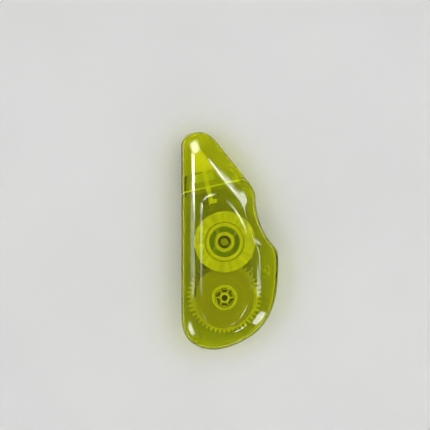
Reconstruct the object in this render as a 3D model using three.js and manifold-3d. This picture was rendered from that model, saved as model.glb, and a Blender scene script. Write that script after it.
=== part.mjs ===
// Correction tape roller: a hand-held dispenser for a 5 mm wide, 6 m long correction tape.
// Millimetres, +Z up. The roller lies flat on its back cover: the nose points to +Y, the finger
// notch is on +X, and the origin is under the middle of the case, on the surface it lies on.

import * as THREE from "three";
import { mergeVertices } from "three/addons/utils/BufferGeometryUtils.js";
import Module from "manifold-3d";

const wasm = await Module();
wasm.setup();

// ---------------------------------------------------------------- driving dimensions

// Case and cap
const THICKNESS = 13; // back face to front face
const PANE_HEIGHT = 0.3; // the raised pane on the front cover
const WALL = 1.2;
const CAP_WALL = 1.1;
const CAP_FIT = 0.3; // from the neck to the cap that slides over it
const NECK_WALL = 1;
const NECK_LENGTH = 6.4;
const SEAM_Z = 6.5; // the two covers meet here
const SEAM_GAP = 0.1;
const BACK_EDGE = { width: 1.8, height: 1.9 }; // the rounded edge of the back cover
const CROWN_START = 9; // the side wall starts to lean in to the front face at this height
const CROWN_FULLNESS = 1.5; // 2 is an elliptic crown, 1 a flat chamfer
const CAP_EDGE = { x: -7.6, y: 20.2, tilt: THREE.MathUtils.degToRad(12.6), gap: 0.2 };

// Layers over the back face, each from its lower to its upper side
const GEAR_LAYER = [1.6, 3];
const BACK_FLANGE_LAYER = [3.3, 3.8];
const TAPE_LAYER = [4, 9];
const FRONT_FLANGE_LAYER = [9.2, 10];
const HUB_TOP = 10.2;
const SHAFT_TOP = 9.7;

// Gear train
const GEAR_MODULE = 0.57;
const DRIVE_TEETH = 48;
const TAKEUP_TEETH = 27;
const PRESSURE_ANGLE = THREE.MathUtils.degToRad(20);
const BACKLASH = 0.1;
const ADDENDUM = 0.95; // in modules
const DEDENDUM = 1.5;
const CENTRE_DISTANCE = (GEAR_MODULE * (DRIVE_TEETH + TAKEUP_TEETH)) / 2;
const TAKEUP_AXIS = { x: -2, y: -0.4 };
const SUPPLY_AXIS = { x: TAKEUP_AXIS.x, y: TAKEUP_AXIS.y - CENTRE_DISTANCE };

// Posts moulded on the back cover
const TURNING_GAP = 0.15; // from a post to the sleeve that turns on it
const SOCKET_GAP = 0.1; // from a post to the socket that it plugs into
const SOCKET_WALL = 0.8;
const SUPPLY_POST = { ...SUPPLY_AXIS, radius: 1.05, foot: 2.6, top: 11.2, socket: 10.5 };
const TAKEUP_POST = { ...TAKEUP_AXIS, radius: 1.45, foot: 3.2, top: 11.2, socket: 10.5 };
const GUIDE_POST = { x: -8.5, y: 12.6, radius: 0.8, top: 10.9, socket: 10.3 };
const HEAD_PEG = { x: -4.7, y: 17.1, radius: 0.7, top: 10.9, socket: 10.3 };
const SNAP_PINS = [
  { x: -12.3, y: -36.4 },
  { x: 5.1, y: 18.2 },
  { x: 13.4, y: -11.2 },
].map((place) => ({ ...place, radius: 0.9, top: 9.6, socket: 7 }));
const POSTS = [SUPPLY_POST, TAKEUP_POST, GUIDE_POST, HEAD_PEG, ...SNAP_PINS];

// Rings under the front cover that keep the reels down
const SUPPLY_STOP = { inner: 4.2, outer: 4.8, low: 9.6 };
const TAKEUP_STOP = { inner: 2.8, outer: 3.5, low: 10.5 };

// Supply reel, clutch and roll
const CORE_RADIUS = 5; // the tape starts on this radius
const CORE_BORE = 3.7;
const ROLL_RADIUS = 11.5; // 6 m of tape
const SUPPLY_FLANGE_RADIUS = 11.9;
const HEXAGON_RADIUS = 1.9;
const CLUTCH_LAYER = [4.3, 9.1];
const CLUTCH = { arms: 6, collar: 2.5, reach: 3.5, arm: 0.4, root: 0.25, sweep: 0.73 };
const GEAR_SLOT = { inner: 2.75, outer: 3.5, bridge: 0.8 }; // through the gear, under the clutch

// Take-up reel
const DRUM_RADIUS = 7.3; // the used carrier winds on this radius
const PINION_NECK_RADIUS = 6.7;
const WRAP_RADIUS = 7.9;
const POCKET = { inner: 3.85, outer: 5.9 }; // between the sleeve and the drum
const WEB_LAYER = [5.9, 6.7]; // joins the sleeve and the drum
const RIB = { width: 1, top: 8.6, turn: THREE.MathUtils.degToRad(36) }; // four, on the web
const WELL_RADIUS = 2.5; // round the post, inside the sleeve
const BACK_FLANGE_RADIUS = 9;
const FRONT_FLANGE_RADIUS = 11.75;

// Tape and applicator head
const TAPE_THICKNESS = 0.16; // drawn thicker than the real 0.05 mm
const PLATE_GAP = 0.3; // from the tape's edge to a side plate
const PLATE_THICKNESS = 0.6;
const STEM_THICKNESS = 0.9;

// ---------------------------------------------------------------- solids

const FACETS = { post: 20, hub: 36, reel: 60 };

// A closed three.js geometry as a solid: only positions count, and shared corners become one.
function solid(geometry) {
  const bare = geometry.clone();
  bare.deleteAttribute("normal");
  bare.deleteAttribute("uv");
  const merged = mergeVertices(bare, 1e-4);
  const kept = [];
  const index = merged.index.array;
  for (let i = 0; i < index.length; i += 3) {
    const [a, b, c] = [index[i], index[i + 1], index[i + 2]];
    if (a !== b && b !== c && c !== a) kept.push(a, b, c);
  }
  const vertProperties = merged.attributes.position.array;
  const triVerts = new Uint32Array(kept);
  return new wasm.Manifold(new wasm.Mesh({ numProp: 3, vertProperties, triVerts }));
}

function geometryOf(made) {
  const { numProp, numVert, vertProperties, triVerts } = made.getMesh();
  const positions = new Float32Array(numVert * 3);
  for (let i = 0; i < numVert; i++) {
    positions.set(vertProperties.subarray(i * numProp, i * numProp + 3), i * 3);
  }
  const geometry = new THREE.BufferGeometry();
  geometry.setAttribute("position", new THREE.BufferAttribute(positions, 3));
  geometry.setIndex(new THREE.BufferAttribute(triVerts, 1));
  geometry.computeVertexNormals();
  return geometry;
}

const union = (first, ...rest) => rest.reduce((whole, piece) => whole.add(piece), first);
const cut = (first, ...rest) => rest.reduce((whole, piece) => whole.subtract(piece), first);
const at = ({ x, y }, made) => made.translate([x, y, 0]);

// A profile of [radius, z] points turned about the Z axis.
function turned(profile, facets) {
  const points = profile.map(([radius, z]) => new THREE.Vector2(radius, z));
  if (THREE.ShapeUtils.area(points) < 0) points.reverse();
  points.push(points[0].clone());
  const geometry = new THREE.LatheGeometry(points, facets);
  geometry.rotateX(Math.PI / 2);
  return solid(geometry);
}

const disc = (radius, [low, high], facets = FACETS.hub) =>
  turned([[0, low], [radius, low], [radius, high], [0, high]], facets);

const ring = (inner, outer, [low, high], facets = FACETS.hub) =>
  turned([[inner, low], [outer, low], [outer, high], [inner, high]], facets);

// A flat shape given a thickness.
function plate(shape, [low, high], curveSegments = 6) {
  const settings = { depth: high - low, bevelEnabled: false, curveSegments };
  const geometry = new THREE.ExtrudeGeometry(shape, settings);
  geometry.translate(0, 0, low);
  return solid(geometry);
}

const polygon = (points) => new THREE.Shape(points.map(([x, y]) => new THREE.Vector2(x, y)));

const BEYOND = 200; // larger than the roller

function slab([low, high]) {
  const geometry = new THREE.BoxGeometry(BEYOND, BEYOND, high - low);
  geometry.translate(0, 0, (low + high) / 2);
  return solid(geometry);
}

// A box given in the frame of the cap's edge: x along the edge, y towards the nose.
function edgeBox(width, depth, height, x, y, z) {
  const geometry = new THREE.BoxGeometry(width, depth, height);
  geometry.translate(x, y, z);
  geometry.rotateZ(CAP_EDGE.tilt);
  geometry.translate(CAP_EDGE.x, CAP_EDGE.y, 0);
  return solid(geometry);
}

// Everything on the nose side of the plane that lies `offset` beyond the cap's edge.
const noseSide = (offset) => edgeBox(BEYOND, BEYOND, BEYOND, 0, BEYOND / 2 + offset, 0);

const OVERLAP = 0.2; // how far joined solids reach into each other

// ---------------------------------------------------------------- form of the case

// Each stretch runs to a point, straight or along a Bezier curve with two handles, in a number
// of steps. The side outline and the front face have matching stretches: one lofts to the other.
const SIDE_OUTLINE = [
  { to: [-18.6, 36.2], steps: 2 },
  { handles: [[-18.6, 39.6], [-15.6, 41.75]], to: [-11.2, 41.75], steps: 6 },
  { handles: [[-8.9, 41.75], [-6.6, 39.85]], to: [-5.1, 38], steps: 4 },
  { to: [5.3, 25.1], steps: 2 },
  { handles: [[7.7, 22.1], [9.9, 19.4]], to: [9.9, 16.5], steps: 4 },
  { handles: [[9.9, 11], [11.6, 4.2]], to: [16.2, -1.2], steps: 6 },
  { handles: [[17.8, -3.05], [18.6, -3.8]], to: [18.6, -7], steps: 3 },
  { handles: [[18.6, -21], [17.3, -27.2]], to: [11.6, -33.7], steps: 7 },
  { handles: [[8, -37.8], [-0.8, -41.75]], to: [-6, -41.75], steps: 6 },
  { handles: [[-12.6, -41.75], [-18.6, -38.6]], to: [-18.6, -29.5], steps: 8 },
];

const FRONT_FACE = [
  { to: [-13.2, 32.05], steps: 2 },
  { handles: [[-13.2, 32.7], [-12.7, 33.2]], to: [-12.05, 33.2], steps: 6 },
  { handles: [[-11.7, 33.2], [-11.35, 33.05]], to: [-11.15, 32.8], steps: 4 },
  { to: [-1.9, 20.8], steps: 2 },
  { handles: [[0.6, 17.6], [3.9, 15]], to: [4.9, 12.4], steps: 4 },
  { handles: [[6.1, 9.2], [7.4, 3.6]], to: [8.7, -0.6], steps: 6 },
  { handles: [[9.2, -2.2], [9.6, -4.6]], to: [9.7, -7.6], steps: 3 },
  { handles: [[9.9, -18.5], [9.6, -25]], to: [7, -29.6], steps: 7 },
  { handles: [[4.9, -33.3], [-1.5, -36]], to: [-6.4, -36], steps: 6 },
  { handles: [[-10.2, -36], [-13.2, -33]], to: [-13.2, -27], steps: 8 },
];

// The points of a closed outline, anticlockwise seen from +Z.
function trace(outline) {
  const points = [];
  let from = new THREE.Vector2(...outline.at(-1).to);
  for (const { handles, to, steps } of outline) {
    const end = new THREE.Vector2(...to);
    const curve = handles
      ? new THREE.CubicBezierCurve(from, ...handles.map((h) => new THREE.Vector2(...h)), end)
      : new THREE.LineCurve(from, end);
    points.push(...curve.getPoints(steps).slice(1));
    from = end;
  }
  return points.reverse();
}

// The same closed outline moved inwards, corner by corner.
function inset(points, distance) {
  return points.map((point, i) => {
    const before = point.clone().sub(points.at(i - 1)).normalize();
    const after = points[(i + 1) % points.length].clone().sub(point).normalize();
    const along = before.clone().add(after).normalize();
    const inwards = new THREE.Vector2(-along.y, along.x);
    return point.clone().addScaledVector(inwards, distance / along.dot(after));
  });
}

const sidePoints = trace(SIDE_OUTLINE);
const facePoints = trace(FRONT_FACE);
const EDGE_STEPS = 4;

// The rounded form of the whole roller, shrunk by `depth` on every side. Where the wall leans,
// its edges move in by less than its thickness, by these shares of the depth.
function casing(depth) {
  const LEAN = { back: 0.4, front: 0.3 };
  const side = inset(sidePoints, depth);
  const back = inset(sidePoints, BACK_EDGE.width + depth * LEAN.back);
  const front = inset(facePoints, depth * LEAN.front);
  const backStart = BACK_EDGE.height + depth * LEAN.front;
  const crownHeight = THICKNESS - depth - CROWN_START;
  const rings = [];
  const level = (face, share, z) =>
    rings.push(face.map((point, i) => new THREE.Vector3(...point.clone().lerp(side[i], share), z)));
  for (let i = 0; i <= EDGE_STEPS; i++) {
    const angle = ((Math.PI / 2) * i) / EDGE_STEPS;
    level(back, Math.sin(angle), backStart - (backStart - depth) * Math.cos(angle));
  }
  for (let i = 0; i <= EDGE_STEPS; i++) {
    const angle = ((Math.PI / 2) * i) / EDGE_STEPS;
    const power = 2 / CROWN_FULLNESS;
    const share = Math.max(Math.cos(angle), 0) ** power;
    level(front, share, CROWN_START + crownHeight * Math.sin(angle) ** power);
  }
  return loft(rings);
}

// A closed solid through rings of matching points, from the lowest ring to the highest.
function loft(rings) {
  const count = rings[0].length;
  const index = [];
  for (let r = 0; r < rings.length - 1; r++) {
    for (let i = 0; i < count; i++) {
      const next = (i + 1) % count;
      const [a, b] = [r * count + i, r * count + next];
      index.push(a, b, b + count, a, b + count, a + count);
    }
  }
  const lid = (points) =>
    THREE.ShapeUtils.triangulateShape(points.map(({ x, y }) => new THREE.Vector2(x, y)), []);
  lid(rings[0]).forEach(([a, b, c]) => index.push(c, b, a));
  const top = (rings.length - 1) * count;
  lid(rings.at(-1)).forEach(([a, b, c]) => index.push(top + a, top + b, top + c));
  const geometry = new THREE.BufferGeometry().setFromPoints(rings.flat());
  geometry.setIndex(index);
  return solid(geometry);
}

// ---------------------------------------------------------------- covers and cap

const SUNK = 0.4; // how deep a post or a socket starts inside its wall
const NECK_DEPTH = CAP_WALL + CAP_FIT;

const roundedForm = casing(0);
const bodyForm = cut(roundedForm, noseSide(0));
const neckForm = cut(casing(NECK_DEPTH).intersect(noseSide(-WALL)), noseSide(NECK_LENGTH));
const bodyHollow = cut(casing(WALL), noseSide(-WALL));
const neckHollow = casing(NECK_DEPTH + NECK_WALL).intersect(noseSide(-2 * WALL));
const covers = cut(union(bodyForm, neckForm), bodyHollow, neckHollow);

const post = (place) => at(place, disc(place.radius, [WALL - SUNK, place.top], FACETS.post));

// A collar at the foot of an axle post, which the gear or pinion turns on.
function foot(place) {
  const layer = [WALL - SUNK, GEAR_LAYER[0] - TURNING_GAP];
  return at(place, ring(place.radius - OVERLAP, place.foot, layer, FACETS.post));
}

function backShell() {
  const tray = covers.intersect(slab([-1, SEAM_Z - SEAM_GAP / 2]));
  return union(tray, ...POSTS.map(post), foot(SUPPLY_POST), foot(TAKEUP_POST));
}

// A tube on the inside of the front cover.
const tube = (place, { inner, outer, low }) =>
  at(place, ring(inner, outer, [low, THICKNESS - WALL + SUNK], FACETS.post));

function socket(place) {
  const inner = place.radius + SOCKET_GAP;
  return tube(place, { inner, outer: inner + SOCKET_WALL, low: place.socket });
}

// The raised pane over the two reels.
function paneShape() {
  const shape = new THREE.Shape();
  shape.moveTo(-11.5, -24.4);
  shape.lineTo(-11.5, 13.4);
  shape.bezierCurveTo(-11.5, 16.4, -8.7, 18.4, -5.2, 18.4);
  shape.bezierCurveTo(-2.8, 18.4, -1, 16.6, 0.6, 14.6);
  shape.bezierCurveTo(4, 10.4, 9.2, 3.2, 9.2, -9.4);
  shape.bezierCurveTo(9.2, -14.6, 9, -18.4, 8, -21.8);
  shape.bezierCurveTo(6.4, -28.2, 2.4, -33.6, -2.4, -33.6);
  shape.bezierCurveTo(-7.4, -33.6, -11.5, -30.2, -11.5, -24.4);
  return shape;
}

// Low ridges across the front of the neck, under the cap.
function ridges() {
  const RIDGE = { width: 8, depth: 0.35, height: 1, proud: 0.15, middle: -1.4 };
  const PLACES = [3.3, 4.1, 4.9, 5.7];
  const z = THICKNESS - NECK_DEPTH;
  const bars = PLACES.map((y) => edgeBox(RIDGE.width, RIDGE.depth, RIDGE.height, RIDGE.middle, y, z));
  return union(...bars).intersect(casing(NECK_DEPTH - RIDGE.proud));
}

function frontShell() {
  const lid = covers.intersect(slab([SEAM_Z + SEAM_GAP / 2, THICKNESS]));
  const pane = plate(paneShape(), [THICKNESS - WALL / 2, THICKNESS + PANE_HEIGHT]);
  const stops = [tube(SUPPLY_AXIS, SUPPLY_STOP), tube(TAKEUP_AXIS, TAKEUP_STOP)];
  const inside = union(...stops, ...POSTS.map(socket)).intersect(casing(SUNK));
  return union(lid, pane, inside, ridges());
}

const tipCap = () => cut(roundedForm.intersect(noseSide(CAP_EDGE.gap)), casing(CAP_WALL));

// ---------------------------------------------------------------- applicator head and tape

// The wedge between the two runs of tape. Its front edge presses the tape on the paper.
const WEDGE = [
  [-13.5, 38.9],
  [-13.55, 33],
  [-13.35, 26],
  [-10.55, 26.6],
  [-12.45, 36.2],
  [-13.2, 38.9],
];

const SIDE_PLATE = [
  [-14.7, 25.7],
  [-6.3, 27.4],
  [-12.6, 37.4],
  [-13.2, 37.9],
  [-13.9, 37.7],
  [-14.4, 36.6],
];

// A stem, with a foot that hooks between the guide post and the head peg.
const STEM = [
  [-10.9, 28],
  [-7.75, 14],
  [-4.9, 14.7],
  [-5.2, 16.1],
  [-6.4, 15.8],
  [-9.2, 28],
];

function applicatorHead() {
  const [low, high] = [TAPE_LAYER[0] - PLATE_GAP, TAPE_LAYER[1] + PLATE_GAP];
  return union(
    plate(polygon(WEDGE), [low - PLATE_THICKNESS / 2, high + PLATE_THICKNESS / 2]),
    plate(polygon(SIDE_PLATE), [high, high + PLATE_THICKNESS]),
    plate(polygon(SIDE_PLATE), [low - PLATE_THICKNESS, low]),
    plate(polygon(STEM), [high, high + STEM_THICKNESS]),
    plate(polygon(STEM), [low - STEM_THICKNESS, low]),
  );
}

// A strip of tape that stands on edge along a line of points.
function strip(points) {
  const line = points.map(([x, y]) => new THREE.Vector2(x, y));
  const side = (distance) =>
    line.map((point, i) => {
      const before = line[Math.max(i - 1, 0)];
      const after = line[Math.min(i + 1, line.length - 1)];
      const along = after.clone().sub(before).normalize();
      return [point.x - along.y * distance, point.y + along.x * distance];
    });
  const half = TAPE_THICKNESS / 2;
  return plate(polygon([...side(-half), ...side(half).toReversed()]), TAPE_LAYER);
}

// From the roll along the straight side of the case to the wedge's edge.
const TAPE_RUN = [
  [SUPPLY_AXIS.x - ROLL_RADIUS - TAPE_THICKNESS, SUPPLY_AXIS.y],
  [-13.71, 33],
  [-13.71, 38.4],
  [-13.56, 39.1],
];

// From the wedge's edge round the guide post to the drum.
const CARRIER_RUN = [
  [-13.15, 39.2],
  [-12.95, 38.6],
  [-12.2, 36.2],
  [-10.35, 26.6],
  [-7.85, 14.3],
  [-7.5, 12.9],
  [-7.6, 12.2],
  [-9.95, 1.1],
];

// ---------------------------------------------------------------- gears and reels

// A spur gear with involute flanks. `phase` is the angle of its first tooth.
function gear(teeth, phase) {
  const FLANK_STEPS = 3;
  const pitch = (GEAR_MODULE * teeth) / 2;
  const base = pitch * Math.cos(PRESSURE_ANGLE);
  const tip = pitch + ADDENDUM * GEAR_MODULE;
  const root = pitch - DEDENDUM * GEAR_MODULE;
  const involute = (radius) => Math.sqrt((radius / base) ** 2 - 1) - Math.acos(base / radius);
  const thickness = Math.PI / (2 * teeth) - BACKLASH / (2 * pitch) + involute(pitch);
  const halfTooth = (radius) => thickness - involute(Math.max(radius, base));
  const radii = [root];
  for (let i = 1; i <= FLANK_STEPS; i++) {
    radii.push(THREE.MathUtils.lerp(Math.max(root, base), tip, i / FLANK_STEPS));
  }
  const points = [];
  for (let tooth = 0; tooth < teeth; tooth++) {
    const middle = phase + (2 * Math.PI * tooth) / teeth;
    const corner = (radius, side) => {
      const angle = middle + side * halfTooth(radius);
      points.push([radius * Math.cos(angle), radius * Math.sin(angle)]);
    };
    radii.forEach((radius) => corner(radius, -1));
    radii.toReversed().forEach((radius) => corner(radius, 1));
  }
  return plate(polygon(points), GEAR_LAYER);
}

const bore = (place) => disc(place.radius + TURNING_GAP, [0, THICKNESS]);

function hexagon(radius, layer) {
  const points = [];
  for (let i = 0; i < 6; i++) {
    const angle = (Math.PI / 3) * i;
    points.push([radius * Math.cos(angle), radius * Math.sin(angle)]);
  }
  return plate(polygon(points), layer);
}

// A flat bar across the Z axis, turned by an angle.
function bar(length, width, [low, high], angle) {
  const geometry = new THREE.BoxGeometry(length, width, high - low);
  geometry.rotateZ(angle);
  geometry.translate(0, 0, (low + high) / 2);
  return solid(geometry);
}

function driveGear() {
  const { inner, outer, bridge } = GEAR_SLOT;
  const bars = [0, 1, 2].map((i) => bar(4 * outer, bridge, [0, THICKNESS], (Math.PI / 3) * i));
  const slots = cut(ring(inner, outer, [0, CLUTCH_LAYER[0]]), ...bars);
  const shaft = hexagon(HEXAGON_RADIUS, [GEAR_LAYER[0], SHAFT_TOP]);
  return cut(union(gear(DRIVE_TEETH, 0), shaft), bore(SUPPLY_POST), slots);
}

// A star that fits the gear's hexagon. Its curved arms rub in the core, so the reel can slip.
function clutchStar() {
  const { arms, collar, reach, arm, root, sweep } = CLUTCH;
  const shape = new THREE.Shape();
  shape.moveTo(collar - OVERLAP, -root);
  shape.lineTo(reach, -root);
  shape.absarc(0, 0, reach, 0, sweep, false);
  shape.absarc(0, 0, reach - arm, sweep, root / reach, true);
  shape.lineTo(collar - OVERLAP, root);
  const turnedArm = (_, i) => plate(shape, CLUTCH_LAYER, 4).rotate([0, 0, (360 / arms) * i]);
  const blank = union(hexagon(collar, CLUTCH_LAYER), ...Array.from({ length: arms }, turnedArm));
  return cut(blank, hexagon(HEXAGON_RADIUS + TURNING_GAP, [0, THICKNESS]));
}

function supplyCore() {
  const RIM = 0.3; // how far the sleeve stands out of the roll
  const layer = [BACK_FLANGE_LAYER[0], TAPE_LAYER[1] + RIM];
  const sleeve = ring(CORE_BORE, CORE_RADIUS, layer, FACETS.reel);
  return union(sleeve, ring(CORE_BORE, SUPPLY_FLANGE_RADIUS, BACK_FLANGE_LAYER, FACETS.reel));
}

const WOUND_GAP = 0.05; // from a reel to the tape wound on it

const wound = (inner, outer) => ring(inner + WOUND_GAP, outer, TAPE_LAYER, FACETS.reel);

// Pinion, back flange, drum and sleeve in one moulding. A web halfway up joins sleeve and drum.
function takeupHub() {
  const [low] = GEAR_LAYER;
  const high = BACK_FLANGE_LAYER[1];
  const pinion = gear(TAKEUP_TEETH, Math.PI * (1 / TAKEUP_TEETH - 1 / 2));
  const neck = disc(PINION_NECK_RADIUS, [low, high]);
  const flange = disc(BACK_FLANGE_RADIUS, BACK_FLANGE_LAYER, FACETS.reel);
  const drum = disc(DRUM_RADIUS, [high - OVERLAP, HUB_TOP], FACETS.reel);
  const opened = cut(union(pinion, neck, flange, drum), disc(POCKET.outer, [0, THICKNESS]));
  const sleeve = disc(POCKET.inner, [low, HUB_TOP]);
  const web = disc(POCKET.outer + OVERLAP, WEB_LAYER);
  const length = 2 * (POCKET.outer + OVERLAP);
  const ribs = [RIB.turn, RIB.turn + Math.PI / 2].map((angle) =>
    bar(length, RIB.width, [WEB_LAYER[0], RIB.top], angle),
  );
  const well = disc(WELL_RADIUS, [high, THICKNESS]);
  return cut(union(opened, sleeve, web, ...ribs), bore(TAKEUP_POST), well);
}

const takeupFlange = () =>
  ring(DRUM_RADIUS + SOCKET_GAP, FRONT_FLANGE_RADIUS, FRONT_FLANGE_LAYER, FACETS.reel);

// ---------------------------------------------------------------- the assembly

const CLEAR = { color: 0xc8d41a, roughness: 0.12, metalness: 0, transparent: true, opacity: 0.5 };
const WHITE = { color: 0xf2f3ee, roughness: 0.45, metalness: 0 };
const COATED = { color: 0xf7f7f5, roughness: 0.6, metalness: 0 };
const CARRIER = { color: 0xb9b39c, roughness: 0.5, metalness: 0 };

function mesh(name, made, finish) {
  const part = new THREE.Mesh(geometryOf(made), new THREE.MeshStandardMaterial(finish));
  part.name = name;
  return part;
}

const supplySide = new THREE.Group();
supplySide.position.set(SUPPLY_AXIS.x, SUPPLY_AXIS.y, 0);
supplySide.add(
  mesh("drive_gear", driveGear(), WHITE),
  mesh("clutch_star", clutchStar(), WHITE),
  mesh("supply_core", supplyCore(), WHITE),
  mesh("supply_roll", wound(CORE_RADIUS, ROLL_RADIUS), COATED),
);

const takeupSide = new THREE.Group();
takeupSide.position.set(TAKEUP_AXIS.x, TAKEUP_AXIS.y, 0);
takeupSide.add(
  mesh("takeup_hub", takeupHub(), WHITE),
  mesh("takeup_flange", takeupFlange(), WHITE),
  mesh("takeup_wrap", wound(DRUM_RADIUS, WRAP_RADIUS), CARRIER),
);

const roller = new THREE.Group();
roller.add(
  mesh("back_shell", backShell(), CLEAR),
  mesh("front_shell", frontShell(), CLEAR),
  mesh("tip_cap", tipCap(), CLEAR),
  mesh("applicator_head", applicatorHead(), WHITE),
  mesh("tape_run", strip(TAPE_RUN), COATED),
  mesh("carrier_run", strip(CARRIER_RUN), CARRIER),
  supplySide,
  takeupSide,
);

export default roller;
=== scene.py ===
"""Correction tape roller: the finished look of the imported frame.

The two covers and the cap are rebuilt as smooth clear shells, and every inner piece gets rounded
edges and its own procedural material. Lengths are millimetres, which `MM` turns into metres, except
those of the lamps, which are metres. The axes, the layers and the sizes of the reels come from the
frame.
"""

import math

import bmesh
import bpy
from mathutils import Matrix, Vector
from mathutils.geometry import interpolate_bezier

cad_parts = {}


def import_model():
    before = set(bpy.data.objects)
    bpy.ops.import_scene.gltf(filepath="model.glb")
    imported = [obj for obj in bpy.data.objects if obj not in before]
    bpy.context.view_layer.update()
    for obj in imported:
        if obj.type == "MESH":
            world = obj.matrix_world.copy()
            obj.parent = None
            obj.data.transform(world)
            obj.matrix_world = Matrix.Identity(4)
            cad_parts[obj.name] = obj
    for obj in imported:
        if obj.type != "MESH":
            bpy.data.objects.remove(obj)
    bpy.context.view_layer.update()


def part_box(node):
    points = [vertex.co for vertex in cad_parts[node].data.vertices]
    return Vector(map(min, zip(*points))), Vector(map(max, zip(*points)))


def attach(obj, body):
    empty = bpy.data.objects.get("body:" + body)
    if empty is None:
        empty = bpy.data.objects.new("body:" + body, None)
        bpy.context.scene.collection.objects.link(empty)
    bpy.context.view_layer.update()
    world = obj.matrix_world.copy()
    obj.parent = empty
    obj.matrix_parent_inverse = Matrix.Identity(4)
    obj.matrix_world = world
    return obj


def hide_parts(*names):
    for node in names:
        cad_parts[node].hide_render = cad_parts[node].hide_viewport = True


MM = 0.001
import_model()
scene = bpy.context.scene


def box_mm(node):
    """The lowest and highest corner of a CAD node, in millimetres."""
    low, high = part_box(node)
    return Vector(low) / MM, Vector(high) / MM


def layer(node):
    """The lowest and the highest z of a CAD node."""
    low, high = box_mm(node)
    return low.z, high.z


def centre(node):
    low, high = box_mm(node)
    return ((low + high) / 2).xy


def outer_radius(node):
    low, high = box_mm(node)
    return (high.x - low.x) / 2


# ------------------------------------------------------------------ driving dimensions

THICKNESS = layer("tip_cap")[1]
PANE_TOP = layer("front_shell")[1]
SEAM = 6.5
SEAM_GAP = 0.1
WALL = 1.2
CAP_WALL = 1.1
NECK_DEPTH = 1.4  # from the cap's outside to the neck's outside
NECK_WALL = 1.0
NECK_LENGTH = 6.4
BACK_EDGE_WIDTH = 1.8
BACK_EDGE_HEIGHT = 1.9
CROWN_START = 9.0
CROWN_FULLNESS = 1.5
CAP_EDGE = Vector((-7.6, 20.2))
CAP_TILT = math.radians(12.6)
CAP_GAP = 0.2

# Ridges on the neck, each placed by its distance from the cap's edge.
SNAP_RIDGES = (3.3, 4.1, 4.9, 5.7)
SNAP_RIDGE_LENGTH = 8
SNAP_RIDGE_WIDTH = 0.35
SNAP_RIDGE_MIDDLE = -1.4
ROOT_RIDGE = 0.45
ROOT_RIDGE_WIDTH = 0.45
RIDGE_HEIGHT = 0.15

SUPPLY = centre("supply_roll")
TAKEUP = centre("takeup_flange")
GEAR_LOW, SHAFT_TOP = layer("drive_gear")
GEAR_HIGH = GEAR_LOW + 1.4
TAPE_LOW, TAPE_HIGH = layer("supply_roll")
ROLL_RADIUS = outer_radius("supply_roll")
FLANGE_RADIUS = outer_radius("takeup_flange")

HEXAGON = 1.9
CORE = 5
DRUM = 7.3
SLEEVE = 3.85
POCKET = 5.9  # the outer radius of the pockets round the sleeve
FLANGE_TOP = 3.8
WEB = (5.9, 6.7)  # joins the sleeve and the drum of the take-up hub
RIB_TOP = 8.6
RIB_TURN = math.radians(36)

GEAR_MODULE = 0.57
DRIVE_TEETH = 48
TAKEUP_TEETH = 27
BACKLASH = 0.1
PRESSURE_ANGLE = math.radians(20)
TOOTH_ABOVE_PITCH = 0.95 * GEAR_MODULE
TOOTH_BELOW_PITCH = 1.5 * GEAR_MODULE

# Posts on the back cover: place, radius, top, and where the front cover's socket starts.
POSTS = [
    {"at": SUPPLY, "radius": 1.05, "top": 11.2, "socket": 10.5},
    {"at": TAKEUP, "radius": 1.45, "top": 11.2, "socket": 10.5},
    {"at": Vector((-8.5, 12.6)), "radius": 0.8, "top": 10.9, "socket": 10.3},
    {"at": Vector((-4.7, 17.1)), "radius": 0.7, "top": 10.9, "socket": 10.3},
    {"at": Vector((-12.3, -36.4)), "radius": 0.9, "top": 9.6, "socket": 7.0},
    {"at": Vector((5.1, 18.2)), "radius": 0.9, "top": 9.6, "socket": 7.0},
    {"at": Vector((13.4, -11.2)), "radius": 0.9, "top": 9.6, "socket": 7.0},
]
SUPPLY_POST, TAKEUP_POST = POSTS[:2]
SOCKET_GAP = 0.1
SOCKET_WALL = 0.8
FOOT_RADII = (2.6, 3.2)  # of the steps round the first two posts, which carry the gears

# Rings under the front cover that keep the reels down: name, place, radii and lower end.
STOPS = [
    ("supply stop", SUPPLY, (4.2, 4.8), TAPE_HIGH + 0.6),
    ("take-up stop", TAKEUP, (2.8, 3.5), 10.5),
]

CLEARANCE = 0.15  # between a shaft and its bore
SUNK = 0.4  # how deep a detail of the covers starts inside the wall
OVERLAP = 0.2  # how far two solids reach into each other where they join
THROUGH = (-1, THICKNESS + 1)  # the height of a tool that cuts right through
BEYOND = 200  # further than any piece reaches

SHARP = math.radians(32)  # an edge that bends more is sharp
SOFT = 0.15  # the rounding of a turned piece's corners
ORIGIN = Vector((0, 0))

# ------------------------------------------------------------------ meshes and booleans


def mesh_object(name, vertices, faces):
    """A new object from points in millimetres."""
    mesh = bpy.data.meshes.new(name)
    mesh.from_pydata([Vector(v) * MM for v in vertices], [], faces)
    mesh.update()
    piece = bpy.data.objects.new(name, mesh)
    scene.collection.objects.link(piece)
    return piece


def bake(piece):
    """Applies every modifier of a piece to its mesh."""
    graph = bpy.context.evaluated_depsgraph_get()
    baked = bpy.data.meshes.new_from_object(piece.evaluated_get(graph))
    old = piece.data
    piece.modifiers.clear()
    piece.data = baked
    bpy.data.meshes.remove(old)
    return piece


def combine(operation, piece, *tools):
    """Unites a piece with the tools, cuts them out of it, or keeps what they share."""
    for tool in tools:
        modifier = piece.modifiers.new(operation, "BOOLEAN")
        modifier.solver = "MANIFOLD"
        modifier.operation = operation
        modifier.object = tool
        bake(piece)
        bpy.data.objects.remove(tool)
    return piece


def unite(piece, *tools):
    return combine("UNION", piece, *tools)


def cut(piece, *tools):
    return combine("DIFFERENCE", piece, *tools)


def keep(piece, *tools):
    return combine("INTERSECT", piece, *tools)


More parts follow.
